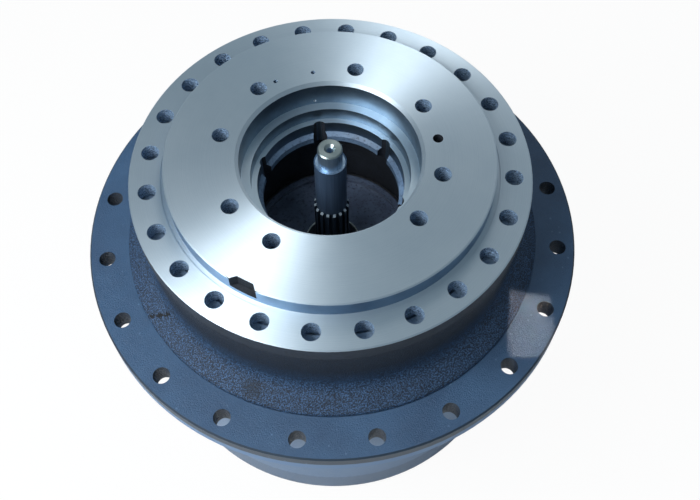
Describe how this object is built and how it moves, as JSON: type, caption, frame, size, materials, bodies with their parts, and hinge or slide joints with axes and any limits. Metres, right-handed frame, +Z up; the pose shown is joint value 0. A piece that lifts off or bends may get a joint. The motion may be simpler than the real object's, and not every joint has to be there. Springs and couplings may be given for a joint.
{
  "type": "excavator final drive",
  "caption": "Two-stage planetary travel gearbox with frame flange, motor face and sprocket flange; the hub turns around the fixed spindle when the input shaft is driven.",
  "frame": {"origin": "centre of the cover's rest pad, at the foot of the drive", "axes": "+Z up along the axis towards the motor face, +X towards the dowel hole"},
  "size_m": [0.6379, 0.638, 0.4935],
  "materials": {
    "machined_casting": "machined bright on top",
    "dark_blue_paint": "satin primer",
    "zinc_steel": "plated",
    "bearing_bronze": "turned",
    "black_rubber": "matte",
    "ground_steel": "ground",
    "carrier_iron": "as cast, oiled",
    "gear_steel": "hardened, oiled"
  },
  "bodies": {
    "spindle_body": {"spindle": "machined_casting", "frame_flange": "machined_casting", "carrier_2": "carrier_iron", "carrier_2_snap_ring": "gear_steel", "planet_pins_2": "gear_steel", "pin_plate_2": "gear_steel", "pin_bolts_2": "gear_steel", "thrust_washers_2": "bearing_bronze", "sun_2_thrust_washer": "bearing_bronze", "bearing_inner_ring_upper": "ground_steel", "bearing_inner_ring_lower": "ground_steel", "bearing_nut": "gear_steel", "nut_lock_plate": "gear_steel", "nut_lock_screw": "gear_steel", "seal_ring_upper": "ground_steel", "seal_rubber_upper": "black_rubber"},
    "hub_body": {"hub": "dark_blue_paint", "sprocket_flange": "dark_blue_paint", "ring_gear": "dark_blue_paint", "cover": "dark_blue_paint", "cover_bolts": "zinc_steel", "cover_plugs": "zinc_steel", "thrust_button": "bearing_bronze", "thrust_plate": "bearing_bronze", "hub_o_ring": "black_rubber", "cover_o_ring": "black_rubber", "bearing_outer_ring_upper": "ground_steel", "bearing_outer_ring_lower": "ground_steel", "seal_ring_lower": "ground_steel", "seal_rubber_lower": "black_rubber"},
    "carrier_1_body": {"carrier_1": "carrier_iron", "sun_gear_2": "gear_steel", "planet_pins_1": "gear_steel", "thrust_washers_1": "bearing_bronze", "pin_plate_1": "gear_steel", "pin_bolts_1": "gear_steel"},
    "sun_shaft_body": {"sun_shaft": "gear_steel"},
    "rollers_upper_body": {"bearing_rollers_upper": "ground_steel", "bearing_cage_upper": "gear_steel"},
    "rollers_lower_body": {"bearing_rollers_lower": "ground_steel", "bearing_cage_lower": "gear_steel"},
    "planet_1_1_body": {"planet_1_1": "gear_steel", "planet_bearing_1_1": "ground_steel"},
    "planet_1_2_body": {"planet_1_2": "gear_steel", "planet_bearing_1_2": "ground_steel"},
    "planet_1_3_body": {"planet_1_3": "gear_steel", "planet_bearing_1_3": "ground_steel"},
    "planet_2_1_body": {"planet_2_1": "gear_steel", "planet_bearing_2_1": "ground_steel"},
    "planet_2_2_body": {"planet_2_2": "gear_steel", "planet_bearing_2_2": "ground_steel"},
    "planet_2_3_body": {"planet_2_3": "gear_steel", "planet_bearing_2_3": "ground_steel"},
    "planet_2_4_body": {"planet_2_4": "gear_steel", "planet_bearing_2_4": "ground_steel"}
  },
  "joints": [
    {"name": "hub_spin", "type": "hinge", "parent": "spindle_body", "child": "hub_body", "pos_m": [0, 0, 0], "axis": [0, 0, 1], "continuous": true},
    {"name": "carrier_1_spin", "type": "hinge", "parent": "spindle_body", "child": "carrier_1_body", "pos_m": [0, 0, 0], "axis": [0, 0, 1], "continuous": true},
    {"name": "sun_shaft_spin", "type": "hinge", "parent": "spindle_body", "child": "sun_shaft_body", "pos_m": [0, 0, 0], "axis": [0, 0, 1], "continuous": true},
    {"name": "rollers_upper_spin", "type": "hinge", "parent": "spindle_body", "child": "rollers_upper_body", "pos_m": [0, 0, 0], "axis": [0, 0, 1], "continuous": true},
    {"name": "rollers_lower_spin", "type": "hinge", "parent": "spindle_body", "child": "rollers_lower_body", "pos_m": [0, 0, 0], "axis": [0, 0, 1], "continuous": true},
    {"name": "planet_1_1_spin", "type": "hinge", "parent": "carrier_1_body", "child": "planet_1_1_body", "pos_m": [0, 0.126, 0], "axis": [0, 0, 1], "continuous": true},
    {"name": "planet_1_2_spin", "type": "hinge", "parent": "carrier_1_body", "child": "planet_1_2_body", "pos_m": [-0.10912, -0.063, 0], "axis": [0, 0, 1], "continuous": true},
    {"name": "planet_1_3_spin", "type": "hinge", "parent": "carrier_1_body", "child": "planet_1_3_body", "pos_m": [0.10912, -0.063, 0], "axis": [0, 0, 1], "continuous": true},
    {"name": "planet_2_1_spin", "type": "hinge", "parent": "spindle_body", "child": "planet_2_1_body", "pos_m": [0.09334, 0.09334, 0], "axis": [0, 0, 1], "continuous": true},
    {"name": "planet_2_2_spin", "type": "hinge", "parent": "spindle_body", "child": "planet_2_2_body", "pos_m": [-0.09334, 0.09334, 0], "axis": [0, 0, 1], "continuous": true},
    {"name": "planet_2_3_spin", "type": "hinge", "parent": "spindle_body", "child": "planet_2_3_body", "pos_m": [-0.09334, -0.09334, 0], "axis": [0, 0, 1], "continuous": true},
    {"name": "planet_2_4_spin", "type": "hinge", "parent": "spindle_body", "child": "planet_2_4_body", "pos_m": [0.09334, -0.09334, 0], "axis": [0, 0, 1], "continuous": true}
  ],
  "couplings": [
    {"joint": "carrier_1_spin", "follows": "hub_spin", "ratio": -4.5},
    {"joint": "sun_shaft_spin", "follows": "hub_spin", "ratio": -37.5},
    {"joint": "rollers_upper_spin", "follows": "hub_spin", "ratio": 0.53001},
    {"joint": "rollers_lower_spin", "follows": "hub_spin", "ratio": 0.53001},
    {"joint": "planet_1_1_spin", "follows": "hub_spin", "ratio": 13.2},
    {"joint": "planet_1_2_spin", "follows": "hub_spin", "ratio": 13.2},
    {"joint": "planet_1_3_spin", "follows": "hub_spin", "ratio": 13.2},
    {"joint": "planet_2_1_spin", "follows": "hub_spin", "ratio": 2.5714},
    {"joint": "planet_2_2_spin", "follows": "hub_spin", "ratio": 2.5714},
    {"joint": "planet_2_3_spin", "follows": "hub_spin", "ratio": 2.5714},
    {"joint": "planet_2_4_spin", "follows": "hub_spin", "ratio": 2.5714}
  ]
}
